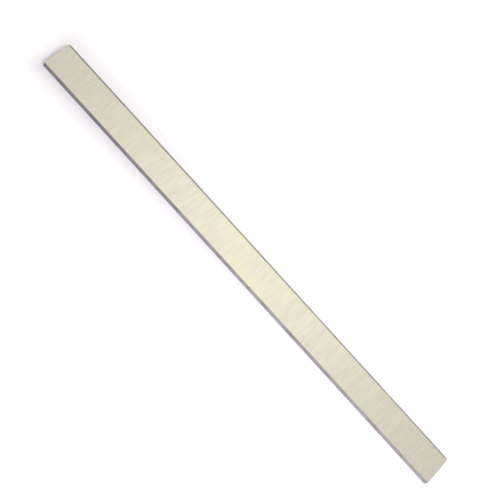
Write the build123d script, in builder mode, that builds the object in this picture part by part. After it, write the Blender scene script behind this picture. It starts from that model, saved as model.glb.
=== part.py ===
"""Planer knife: one flat bar of high-speed steel, ground along its front to a cutting edge.

The knife lies on its flat ground face, which is the side that meets the wood.
X runs along the cutting edge, Y across the knife from the cutting edge to the back,
and Z up through its thickness. The origin is the middle of the face that it lies on.
All sizes are in millimetres and all angles in degrees.
"""
import math
import os

from build123d import *

# Driving sizes of the bar
length = 410.0
width = 25.0
thickness = 2.5

# The ground edges
bevel_angle = 50.0      # between the cutting bevel and the flat face under it
back_chamfer = 1.5      # along the upper back edge, at 45 degrees
back_foot_break = 0.2   # along the lower back edge
corner_break = 0.8      # across the two upright corners at the back
end_break = 0.25        # round the outline of each square-cut end

# Outline of the section, worked out from the sizes above
front = -width / 2
back = width / 2
bevel_width = thickness / math.tan(math.radians(bevel_angle))
cutting_edge = (front, 0)
bevel_top = (front + bevel_width, thickness)
chamfer_top = (back - back_chamfer, thickness)
chamfer_foot = (back, thickness - back_chamfer)
back_foot = (back, 0)


with BuildPart() as planer_knife:
    # The section is ground to the same shape from end to end
    with BuildSketch(Plane.YZ):
        with BuildLine():
            Polyline(cutting_edge, bevel_top, chamfer_top, chamfer_foot, back_foot, close=True)
        make_face()
    extrude(amount=length / 2, both=True)

    # Upright corners at the back, broken for handling
    chamfer(planer_knife.edges().filter_by(Axis.Z), corner_break)

    # Lower back edge, stoned so that it seats in the corner of a cutter block's slot
    back_land = planer_knife.faces().filter_by(Axis.Y).sort_by(Axis.Y)[-1]
    chamfer(back_land.edges().filter_by(Axis.X).sort_by(Axis.Z)[0], back_foot_break)

    # Both ends are cut square and their outline is lightly broken
    chamfer(planer_knife.faces().filter_by(Axis.X).edges(), end_break)

planer_knife.part.label = "planer_knife"

os.makedirs("parts", exist_ok=True)
export_step(planer_knife.part, "parts/planer_knife.step")
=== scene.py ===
"""Looks of the planer knife: ground steel finishes, a white floor, soft light and the camera.

The knife lies on its flat face. X runs along the cutting edge, Y from the cutting edge to the back,
Z up. Everything is in metres.
"""
import math

import bmesh
import bpy
from mathutils import Matrix, Vector


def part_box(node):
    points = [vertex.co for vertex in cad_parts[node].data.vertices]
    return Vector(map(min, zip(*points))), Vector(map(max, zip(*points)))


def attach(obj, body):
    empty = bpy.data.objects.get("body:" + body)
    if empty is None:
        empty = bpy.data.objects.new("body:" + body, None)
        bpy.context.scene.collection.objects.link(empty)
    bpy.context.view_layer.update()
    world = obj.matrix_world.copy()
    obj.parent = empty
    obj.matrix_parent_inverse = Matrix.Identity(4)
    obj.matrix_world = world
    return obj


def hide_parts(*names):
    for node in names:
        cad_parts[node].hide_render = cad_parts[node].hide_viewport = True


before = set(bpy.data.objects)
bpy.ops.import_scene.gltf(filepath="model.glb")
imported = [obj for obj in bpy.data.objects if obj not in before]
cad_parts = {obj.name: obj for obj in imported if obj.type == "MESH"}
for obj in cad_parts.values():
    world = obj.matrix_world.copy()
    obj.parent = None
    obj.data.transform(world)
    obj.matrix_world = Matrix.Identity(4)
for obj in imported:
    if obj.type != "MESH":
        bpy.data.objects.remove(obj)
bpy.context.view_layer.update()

NODE = "planer_knife"
LOW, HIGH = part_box(NODE)
SIZE = HIGH - LOW

# Rounding of the edges that grinding leaves, as a radius
EDGE_ROUND = 0.00007
EDGE_SEGMENTS = 3
CUTTING_EDGE_ROUND = 0.000008

# Corners closer than this are one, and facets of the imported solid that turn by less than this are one
MERGE_GAP = 0.000001
FLAT_ANGLE = math.radians(0.5)

# How much of a facet's normal lies along an axis that it faces squarely, or mostly
SQUARELY = 0.99
MOSTLY = 0.5

# Name of the map that says which way the highlights on the grinding lines stretch
UV_NAME = "grinding"

# Slots of the finishes on the knife
FACE, BEVEL, BACK, END, EDGE = range(5)

# Colours of the steel, linear: the lighter and the darker tone of each finish, and the face's painted warm
# highlight
FACE_LIGHT = (0.896, 0.837, 0.692, 1)
FACE_DARK = (0.779, 0.719, 0.582, 1)
FACE_PAINTED_WARM_HIGHLIGHT = (0.90, 0.81, 0.615, 1)
# The bevel's tones are darkened far below the face's as painted shade, for the dim room and shaded floor that
# the sloping facet mirrors
BEVEL_PAINTED_SHADE_LIGHT = (0.342, 0.323, 0.325, 1)
BEVEL_PAINTED_SHADE_DARK = (0.199, 0.187, 0.192, 1)
# The back's tones are darkened as painted shade, for the dim room that the sloping chamfer mirrors
BACK_PAINTED_SHADE_LIGHT = (0.42, 0.395, 0.375, 1)
BACK_PAINTED_SHADE_DARK = (0.305, 0.286, 0.272, 1)
END_LIGHT = (0.55, 0.52, 0.48, 1)
END_DARK = (0.38, 0.36, 0.34, 1)
EDGE_LIGHT = (0.72, 0.69, 0.64, 1)
EDGE_DARK = (0.55, 0.53, 0.49, 1)

# Grinding lines: how far apart they lie and how far they run, from hair-fine ones to the broad bands
FACE_LINES = {
    "Fine spacing": 0.00014,
    "Fine run": 0.006,
    "Coarse spacing": 0.001,
    "Coarse run": 0.013,
    "Band width": 0.007,
    "Band run": 0.15,
}
EDGE_LINES = {
    "Fine spacing": 0.0001,
    "Fine run": 0.002,
    "Coarse spacing": 0.0005,
    "Coarse run": 0.004,
    "Band width": 0.012,
    "Band run": 0.072,
}

# Stretches of the noise over which a line fades in, and the shares of the fine and of the deep lines
LINE_NOISE = (0.3, 0.7)
COARSE_NOISE = (0.32, 0.68)
DEEP_NOISE = (0.60, 0.74)
NOISE_ROUGHNESS = 0.6
FINE_SHARE = 0.4
DEEP_SHARE = 0.5

# Shares of the broad bands on the face and on the narrow facets, and how far the roughness swings either way
FACE_BANDS = 0.15
EDGE_BANDS = 0.45
ROUGHNESS_SWING = 0.05

# Painted warm highlight on the face: full near the middle of the knife, where the overhead lamp's highlight
# falls, faint far from it, and patchy
WARM_NEAR, WARM_FAR = 0.01, 0.05
WARM_FAINT = 0.15
PATCHES_PER_METRE = 40.0
PATCH_NOISE = (0.3, 0.7)
PATCH_FAINT = 0.3

# Camera: where it stands, which ways are right and down in its view, and its lens
CAMERA_PLACE = Vector((-0.00735, -0.05859, 0.32835))
CAMERA_RIGHT = Vector((0.673395, 0.723608, 0.151428))
CAMERA_DOWN = Vector((0.739269, -0.66039, -0.131782))
FOCAL_PIXELS = 457.53
FRAME_PIXELS = 500
SENSOR_WIDTH = 36.0
NEAREST_SEEN = 0.01

# Floor: white paper, with a glow that only what looks at it sees: a painted pool of light that grows along
# the knife towards its right end, and a white that grows away from the knife, leaving painted shade close
# round it
FLOOR_SIZE = 6.0
FLOOR_COLOUR = (0.88, 0.855, 0.876, 1)
PAINTED_LIGHT_START, PAINTED_LIGHT_END = -0.2, 0.1
PAINTED_LIGHT_ALONG = 0.2
GLOW_NEAR, GLOW_FAR = 0.003, 0.016
GLOW_AWAY = 0.12

# Room: walls that pale from left to right, a dimmer band above them and a pale ceiling
WALL_LEFT = (0.52, 0.505, 0.51, 1)
WALL_RIGHT = (1.06, 1.06, 1.07, 1)
BAND = (0.41, 0.40, 0.41, 1)
CEILING = (0.775, 0.782, 0.82, 1)
WALL_TURN = (-0.4, 0.4)
WALL_TOP = (0.15, 0.35)
CEILING_START = (0.6, 0.8)

# Lamps: where each hangs, the point it faces, its width and height, and whether the steel mirrors it
ORIGIN = Vector((0, 0, 0))
LAMPS = {
    "overhead": {
        "place": Vector((0.01, 0.15, 0.9)),
        "aim": ORIGIN,
        "size": (0.8, 0.8),
        "power": 0.785,
        "colour": (1.0, 1.0, 0.92),
        "mirrored": True,
    },
    "right": {
        "place": Vector((2.55, 0.54, 1.76)),
        "aim": ORIGIN,
        "size": (1.8, 1.05),
        "power": 45.0,
        "colour": (0.965, 0.92, 1.0),
        "mirrored": False,
    },
    "rear": {
        "place": Vector((1.5, 2.6, 0.975)),
        "aim": ORIGIN,
        "size": (2.7, 1.05),
        "power": 66.8,
        "colour": (1.0, 0.962, 0.69),
        "mirrored": False,
    },
    "front": {
        "place": Vector((0.45, -1.0, 0.22)),
        "aim": Vector((0.45, 0, 0.22)),
        "size": (1.5, 0.44),
        "power": 2.1,
        "colour": (0.98, 1.0, 1.0),
        "mirrored": True,
    },
}


def shade(tree, kind, inputs=None, **settings):
    """Adds a shader node; each input is a value or the socket that feeds it."""
    made = tree.nodes.new(kind)
    for name, value in settings.items():
        setattr(made, name, value)
    for name, value in (inputs or {}).items():
        if isinstance(value, bpy.types.NodeSocket):
            tree.links.new(value, made.inputs[name])
        else:
            made.inputs[name].default_value = value
    return made


def reckon(tree, operation, *values):
    """The result of a calculation with numbers."""
    return shade(tree, "ShaderNodeMath", dict(enumerate(values)), operation=operation).outputs[0]


def reckon_place(tree, operation, *values):
    """The result of a calculation with places or directions."""
    return shade(tree, "ShaderNodeVectorMath", dict(enumerate(values)), operation=operation).outputs[0]


def weighted(tree, first, second, share):
    """The numbers first and second mixed, with share of the second."""
    return shade(tree, "ShaderNodeMix", {0: share, 2: first, 3: second}, data_type="FLOAT").outputs[0]


def blended(tree, first, second, share):
    """The colours first and second mixed, with share of the second."""
    return shade(tree, "ShaderNodeMix", {0: share, 6: first, 7: second}, data_type="RGBA").outputs[2]


def group_tree(name, inputs, outputs):
    """A new shader node group with named sockets, the sockets that bring its inputs, and its output node."""
    tree = bpy.data.node_groups.new(name, "ShaderNodeTree")
    for label, kind in inputs.items():
        tree.interface.new_socket(label, in_out="INPUT", socket_type=kind)
    for label, kind in outputs.items():
        tree.interface.new_socket(label, in_out="OUTPUT", socket_type=kind)
    return tree, tree.nodes.new("NodeGroupInput").outputs, tree.nodes.new("NodeGroupOutput")


def streaks(tree, place, spacing, run, detail):
    """Noise drawn out into lines: spacing across them, run along them."""
    across = reckon(tree, "DIVIDE", 1.0, spacing)
    along = reckon(tree, "DIVIDE", 1.0, run)
    stretch = shade(tree, "ShaderNodeCombineXYZ", {"X": across, "Y": along, "Z": along})
    return shade(tree, "ShaderNodeTexNoise", {
        "Vector": reckon_place(tree, "MULTIPLY", place, stretch.outputs[0]),
        "Scale": 1.0,
        "Detail": detail,
        "Roughness": NOISE_ROUGHNESS,
    }).outputs["Fac"]


def spread(tree, value, low, high, to_low=0.0, to_high=1.0):
    """Maps low..high to to_low..to_high, clamped, with a smooth start and end."""
    return shade(tree, "ShaderNodeMapRange", {
        "Value": value,
        "From Min": low,
        "From Max": high,
        "To Min": to_low,
        "To Max": to_high,
    }, interpolation_type="SMOOTHSTEP").outputs["Result"]


def grinding_lines():
    """Group: the lines that a grinding wheel leaves, from hair-fine to the broad bands of its passes."""
    sizes = {label: "NodeSocketFloat" for label in FACE_LINES}
    tree, given, result = group_tree(
        "grinding lines",
        {"Place": "NodeSocketVector", **sizes},
        {"Lines": "NodeSocketFloat", "Deep lines": "NodeSocketFloat", "Bands": "NodeSocketFloat"},
    )
    place = given["Place"]
    fine_noise = streaks(tree, place, given["Fine spacing"], given["Fine run"], detail=1.0)
    coarse_noise = streaks(tree, place, given["Coarse spacing"], given["Coarse run"], detail=2.0)
    band_noise = streaks(tree, place, given["Band width"], given["Band run"], detail=1.0)
    fine = spread(tree, fine_noise, *LINE_NOISE)
    coarse = spread(tree, coarse_noise, *COARSE_NOISE)
    tree.links.new(weighted(tree, coarse, fine, FINE_SHARE), result.inputs["Lines"])
    tree.links.new(spread(tree, coarse_noise, *DEEP_NOISE), result.inputs["Deep lines"])
    tree.links.new(spread(tree, band_noise, *LINE_NOISE), result.inputs["Bands"])
    return tree


def painted_warm_highlight(tree, place):
    """How strong the painted warm highlight on the face is at a place: most round the middle of the knife,
    and in patches.
    """
    along = shade(tree, "ShaderNodeSeparateXYZ", {0: place}).outputs["X"]
    from_middle = reckon(tree, "ABSOLUTE", along)
    near_middle = spread(tree, from_middle, WARM_NEAR, WARM_FAR, 1.0, WARM_FAINT)
    noise = shade(tree, "ShaderNodeTexNoise", {"Vector": place, "Scale": PATCHES_PER_METRE, "Detail": 1.0})
    patchy = spread(tree, noise.outputs["Fac"], *PATCH_NOISE, PATCH_FAINT, 1.0)
    return reckon(tree, "MULTIPLY", near_middle, patchy)


def steel(group, name, light, dark, lines, turn, roughness, depth, anisotropy, bands, painted_warm=None):
    """One ground finish. turn brings X across the lines, bands is the share of the broad bands, and the warm
    colour, if given, is a painted warm highlight.
    """
    made = bpy.data.materials.new(name)
    made.use_nodes = True
    tree = made.node_tree
    tree.nodes.clear()
    place = shade(tree, "ShaderNodeTexCoord").outputs["Object"]
    turned = shade(tree, "ShaderNodeMapping", {"Vector": place, "Rotation": (0, 0, turn)}).outputs[0]
    ground = shade(tree, "ShaderNodeGroup", node_tree=group)
    tree.links.new(turned, ground.inputs["Place"])
    for label, value in lines.items():
        ground.inputs[label].default_value = value

    tone = weighted(tree, ground.outputs["Lines"], ground.outputs["Bands"], bands)
    colour = blended(tree, dark, light, tone)
    # Painted warm highlight, mixed into the face's colour round the middle of the knife
    if painted_warm:
        colour = blended(tree, colour, painted_warm, painted_warm_highlight(tree, place))
    gloss = spread(tree, tone, 0.0, 1.0, roughness + ROUGHNESS_SWING, roughness - ROUGHNESS_SWING)
    relief = weighted(tree, ground.outputs["Lines"], ground.outputs["Deep lines"], DEEP_SHARE)
    bump = shade(tree, "ShaderNodeBump", {"Height": relief, "Strength": 1.0, "Distance": depth})
    tangent = shade(tree, "ShaderNodeTangent", direction_type="UV_MAP", uv_map=UV_NAME)
    surface = shade(tree, "ShaderNodeBsdfPrincipled", {
        "Base Color": colour,
        "Metallic": 1.0,
        "Roughness": gloss,
        "Anisotropic": anisotropy,
        "Normal": bump.outputs[0],
        "Tangent": tangent.outputs[0],
    })
    output = shade(tree, "ShaderNodeOutputMaterial")
    tree.links.new(surface.outputs[0], output.inputs["Surface"])
    return made


def finishes():
    """The five finishes, in the order of their slots."""
    group = grinding_lines()
    return [
        # The face, with a painted warm highlight round its middle
        steel(
            group, "ground_face", FACE_LIGHT, FACE_DARK, FACE_LINES, turn=math.radians(0.5),
            roughness=0.36, depth=0.000002, anisotropy=0.6, bands=FACE_BANDS, painted_warm=FACE_PAINTED_WARM_HIGHLIGHT,
        ),
        # The cutting bevel, in colours darkened as painted shade
        steel(
            group, "cutting_bevel", BEVEL_PAINTED_SHADE_LIGHT, BEVEL_PAINTED_SHADE_DARK, EDGE_LINES, turn=math.radians(-8),
            roughness=0.30, depth=0.000004, anisotropy=0.4, bands=EDGE_BANDS,
        ),
        # The back chamfer, in colours darkened as painted shade
        steel(
            group, "back_grind", BACK_PAINTED_SHADE_LIGHT, BACK_PAINTED_SHADE_DARK, EDGE_LINES, turn=math.radians(6),
            roughness=0.42, depth=0.000003, anisotropy=0.3, bands=EDGE_BANDS,
        ),
        steel(
            group, "cut_end", END_LIGHT, END_DARK, EDGE_LINES, turn=math.radians(90),
            roughness=0.45, depth=0.000004, anisotropy=0.3, bands=EDGE_BANDS,
        ),
        steel(
            group, "rubbed_edge", EDGE_LIGHT, EDGE_DARK, EDGE_LINES, turn=0.0,
            roughness=0.35, depth=0.000001, anisotropy=0.0, bands=EDGE_BANDS,
        ),
    ]


def finish_of(normal):
    """The finish of a facet, from the way it faces."""
    if abs(normal.x) > MOSTLY:
        return END
    if abs(normal.z) > SQUARELY:
        return FACE
    return BEVEL if normal.y < 0 else BACK


def is_cutting_edge(edge):
    """Whether both ends of an edge lie on the front of the knife, where it cuts."""
    return all(vert.co.y - LOW.y < MERGE_GAP for vert in edge.verts)


def ground_solid(node):
    """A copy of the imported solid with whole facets, a finish on each and a weight on each edge to round."""
    solid = bmesh.new()
    solid.from_mesh(node.data)
    bmesh.ops.remove_doubles(solid, verts=solid.verts, dist=MERGE_GAP)
    bmesh.ops.dissolve_limit(solid, angle_limit=FLAT_ANGLE, verts=solid.verts, edges=solid.edges)
    bmesh.ops.recalc_face_normals(solid, faces=solid.faces)
    weight = solid.edges.layers.float.new("bevel_weight_edge")
    for edge in solid.edges:
        edge[weight] = CUTTING_EDGE_ROUND / EDGE_ROUND if is_cutting_edge(edge) else 1.0
    for facet in solid.faces:
        facet.smooth = False
        facet.material_index = finish_of(facet.normal)
    mesh = bpy.data.meshes.new("ground_solid")
    solid.to_mesh(mesh)
    solid.free()
    return mesh


def merge_corners(mesh):
    """Makes one of the corners that the rounding leaves almost in one place, without the slivers between."""
    rounded = bmesh.new()
    rounded.from_mesh(mesh)
    bmesh.ops.remove_doubles(rounded, verts=rounded.verts, dist=MERGE_GAP)
    rounded.to_mesh(mesh)
    rounded.free()


def finished_knife(node):
    """The knife with a finish on each facet and its edges rounded; the ground facets stay dead flat."""
    rough = bpy.data.objects.new("rough_knife", ground_solid(node))
    bpy.context.scene.collection.objects.link(rough)
    for finish in finishes():
        rough.data.materials.append(finish)
    rounding = rough.modifiers.new("rounding", "BEVEL")
    rounding.limit_method = "WEIGHT"
    rounding.width = EDGE_ROUND
    rounding.segments = EDGE_SEGMENTS
    rounding.material = EDGE
    rounding.use_clamp_overlap = True
    seen = rough.evaluated_get(bpy.context.evaluated_depsgraph_get())
    finished = bpy.data.meshes.new_from_object(seen)
    bpy.data.objects.remove(rough)

    finished.attributes.remove(finished.attributes["custom_normal"])
    merge_corners(finished)
    for facet in finished.polygons:
        facet.use_smooth = facet.material_index == EDGE
    lay_uv(finished)
    knife = bpy.data.objects.new("finished_knife", finished)
    bpy.context.scene.collection.objects.link(knife)
    return knife


def lay_uv(mesh):
    """UV in metres, with U along the long way of each facet, for the stretch of its highlights."""
    uv = mesh.uv_layers.new(name=UV_NAME)
    for facet in mesh.polygons:
        for corner in facet.loop_indices:
            place = mesh.vertices[mesh.loops[corner].vertex_index].co
            if abs(facet.normal.x) > MOSTLY:
                uv.data[corner].uv = (place.y, place.z)
            elif abs(facet.normal.z) > MOSTLY:
                uv.data[corner].uv = (place.x, place.y)
            else:
                uv.data[corner].uv = (place.x, place.z)


def distance_from_knife(tree, place):
    """How far a place of the floor is from the outline of the knife."""
    mirrored = reckon_place(tree, "ABSOLUTE", place)
    past = reckon_place(tree, "SUBTRACT", mirrored, (SIZE.x / 2, SIZE.y / 2, 0))
    outside = reckon_place(tree, "MAXIMUM", past, (0, 0, 0))
    return shade(tree, "ShaderNodeVectorMath", {0: outside}, operation="LENGTH").outputs["Value"]


def looked_at(tree):
    """1 for the rays of the camera, a mirror or glass, and 0 for light that comes from the floor."""
    rays = shade(tree, "ShaderNodeLightPath")
    seen = reckon(tree, "MAXIMUM", rays.outputs["Is Camera Ray"], rays.outputs["Is Glossy Ray"])
    return reckon(tree, "MAXIMUM", seen, rays.outputs["Is Transmission Ray"])


def white_paper():
    """The floor's material: matt white, and a glow that is seen but lights nothing: a painted pool of light
    towards the knife's right end, and a white away from the knife that leaves painted shade close round it.
    """
    paper = bpy.data.materials.new("white_paper")
    paper.use_nodes = True
    tree = paper.node_tree
    tree.nodes.clear()
    place = shade(tree, "ShaderNodeTexCoord").outputs["Object"]
    along = shade(tree, "ShaderNodeSeparateXYZ", {0: place}).outputs["X"]
    # Painted pool of light: the floor glows brighter towards the knife's right end, and the steel mirrors it
    painted_light_along = spread(tree, along, PAINTED_LIGHT_START, PAINTED_LIGHT_END, 0.0, PAINTED_LIGHT_ALONG)
    # White away from the knife, with painted shade close round it where the floor doesn't glow
    glow_away = spread(tree, distance_from_knife(tree, place), GLOW_NEAR, GLOW_FAR, 0.0, GLOW_AWAY)
    glow = reckon(tree, "ADD", painted_light_along, glow_away)
    matt = shade(tree, "ShaderNodeBsdfDiffuse", {"Color": FLOOR_COLOUR})
    white = shade(tree, "ShaderNodeEmission", {"Strength": reckon(tree, "MULTIPLY", looked_at(tree), glow)})
    both = shade(tree, "ShaderNodeAddShader", {0: matt.outputs[0], 1: white.outputs[0]})
    output = shade(tree, "ShaderNodeOutputMaterial")
    tree.links.new(both.outputs[0], output.inputs["Surface"])
    return paper


def lay_floor():
    """A white floor that keeps the knife's shadow."""
    half = FLOOR_SIZE / 2
    corners = [(-half, -half, 0), (half, -half, 0), (half, half, 0), (-half, half, 0)]
    mesh = bpy.data.meshes.new("floor")
    mesh.from_pydata(corners, [], [(0, 1, 2, 3)])
    mesh.materials.append(white_paper())
    floor = bpy.data.objects.new("floor", mesh)
    bpy.context.scene.collection.objects.link(floor)


def light_room():
    """A studio room: walls that pale from left to right, a dimmer band above them and a pale ceiling."""
    world = bpy.data.worlds.new("studio")
    bpy.context.scene.world = world
    world.use_nodes = True
    tree = world.node_tree
    tree.nodes.clear()
    way = shade(tree, "ShaderNodeTexCoord").outputs["Generated"]
    parts = shade(tree, "ShaderNodeSeparateXYZ", {0: way})
    height = parts.outputs["Z"]
    walls = blended(tree, WALL_LEFT, WALL_RIGHT, spread(tree, parts.outputs["X"], *WALL_TURN))
    walls_and_band = blended(tree, walls, BAND, spread(tree, height, *WALL_TOP))
    room = blended(tree, walls_and_band, CEILING, spread(tree, height, *CEILING_START))
    glow = shade(tree, "ShaderNodeBackground", {"Color": room, "Strength": 1.0})
    output = shade(tree, "ShaderNodeOutputWorld")
    tree.links.new(glow.outputs[0], output.inputs["Surface"])


def hang_lamp(name, place, aim, size, power, colour, mirrored):
    """A soft lamp that is out of the picture itself."""
    lamp = bpy.data.lights.new(name, "AREA")
    lamp.shape = "RECTANGLE"
    lamp.size, lamp.size_y = size
    lamp.energy = power
    lamp.color = colour
    hung = bpy.data.objects.new(name, lamp)
    hung.location = place
    hung.rotation_euler = (aim - place).to_track_quat("-Z", "Y").to_euler()
    hung.visible_camera = False
    hung.visible_glossy = mirrored
    bpy.context.scene.collection.objects.link(hung)


def set_camera():
    """The camera, with the knife lying across the frame from its upper left to its lower right."""
    lens = bpy.data.cameras.new("camera")
    lens.sensor_width = SENSOR_WIDTH
    lens.lens = FOCAL_PIXELS / FRAME_PIXELS * SENSOR_WIDTH
    lens.clip_start = NEAREST_SEEN
    camera = bpy.data.objects.new("camera", lens)
    up = -CAMERA_DOWN
    back = CAMERA_RIGHT.cross(up)
    turn = Matrix((CAMERA_RIGHT, up, back)).transposed().to_4x4()
    camera.matrix_world = Matrix.Translation(CAMERA_PLACE) @ turn
    bpy.context.scene.collection.objects.link(camera)
    bpy.context.scene.camera = camera


knife = finished_knife(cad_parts[NODE])
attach(knife, "root")
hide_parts(NODE)

lay_floor()
light_room()
for lamp_name, lamp_setting in LAMPS.items():
    hang_lamp(lamp_name, **lamp_setting)
set_camera()
bpy.context.scene.view_settings.view_transform = "Standard"
